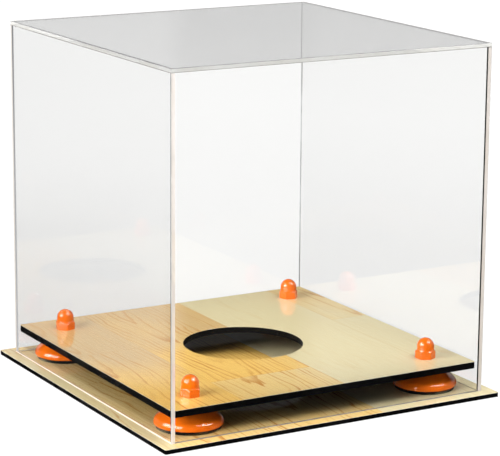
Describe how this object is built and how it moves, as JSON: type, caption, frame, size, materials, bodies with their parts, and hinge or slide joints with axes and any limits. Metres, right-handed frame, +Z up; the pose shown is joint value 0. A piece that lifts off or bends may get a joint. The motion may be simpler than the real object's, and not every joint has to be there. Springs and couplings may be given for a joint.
{
  "type": "bowling ball display case",
  "caption": "Clear cube cover over a raised square platform with a round ball seat, on a flat base; the cover and the platform lift off.",
  "frame": {"origin": "middle of the base's underside", "axes": "+Z up; -Y is the front and +X the right, seen from the front"},
  "size_m": [0.272, 0.272, 0.2572],
  "materials": {
    "clear_acrylic": "clear polished acrylic sheet, cut edges bright",
    "wood_laminate": "glossy pale wood-look laminate with orange-brown grain",
    "black_board": "gloss black sheet, cut edges bright",
    "riser_orange": "gloss orange",
    "nut_orange": "gloss orange paint",
    "black_rubber": "matt black",
    "stud_steel": "plated threaded rod"
  },
  "bodies": {
    "base": {"base_board": "black_board", "base_laminate": "wood_laminate"},
    "stand": {"platform_board": "black_board", "platform_laminate": "wood_laminate", "riser_front_left": "riser_orange", "riser_pad_front_left": "black_rubber", "riser_stud_front_left": "stud_steel", "cap_nut_front_left": "nut_orange", "riser_front_right": "riser_orange", "riser_pad_front_right": "black_rubber", "riser_stud_front_right": "stud_steel", "cap_nut_front_right": "nut_orange", "riser_back_left": "riser_orange", "riser_pad_back_left": "black_rubber", "riser_stud_back_left": "stud_steel", "cap_nut_back_left": "nut_orange", "riser_back_right": "riser_orange", "riser_pad_back_right": "black_rubber", "riser_stud_back_right": "stud_steel", "cap_nut_back_right": "nut_orange"},
    "cover": {"cover_top_panel": "clear_acrylic", "cover_left_panel": "clear_acrylic", "cover_right_panel": "clear_acrylic", "cover_front_panel": "clear_acrylic", "cover_back_panel": "clear_acrylic"}
  },
  "joints": [
    {"name": "cover_lift", "type": "slide", "parent": "base", "child": "cover", "axis": [0, 0, 1], "range_m": [0, 0.26]},
    {"name": "stand_lift", "type": "slide", "parent": "base", "child": "stand", "axis": [0, 0, 1], "range_m": [0, 0.15]}
  ]
}
